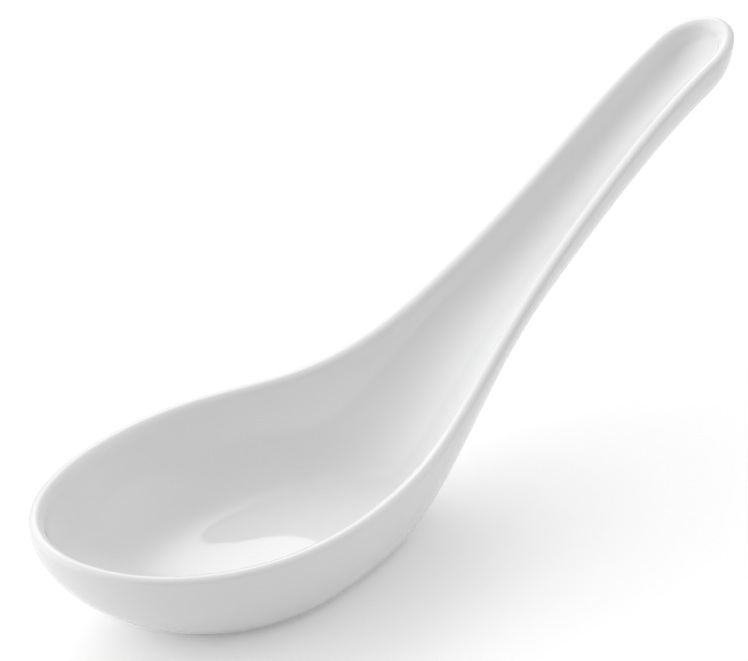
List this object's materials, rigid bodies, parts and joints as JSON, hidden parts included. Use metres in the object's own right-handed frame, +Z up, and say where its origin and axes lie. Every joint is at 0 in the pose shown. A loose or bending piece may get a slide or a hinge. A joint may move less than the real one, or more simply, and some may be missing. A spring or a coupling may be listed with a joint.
{
  "type": "sauce spoon",
  "caption": "White glazed porcelain spoon with a deep oval bowl on a flat foot and a rising, trough-shaped handle, for serving sauce or soup.",
  "frame": {"origin": "on the table, in the foot's flat face, under the bowl's widest line", "axes": "+X from the bowl along the handle, +Z up, the plane y = 0 halves the spoon"},
  "size_m": [0.135, 0.0442, 0.0603],
  "materials": {
    "porcelain_body": "fired porcelain, bare and matt on the foot",
    "glaze_coat": "glossy white glaze"
  },
  "bodies": {
    "root": {"porcelain_body": "porcelain_body", "glaze_coat": "glaze_coat"}
  },
  "joints": []
}
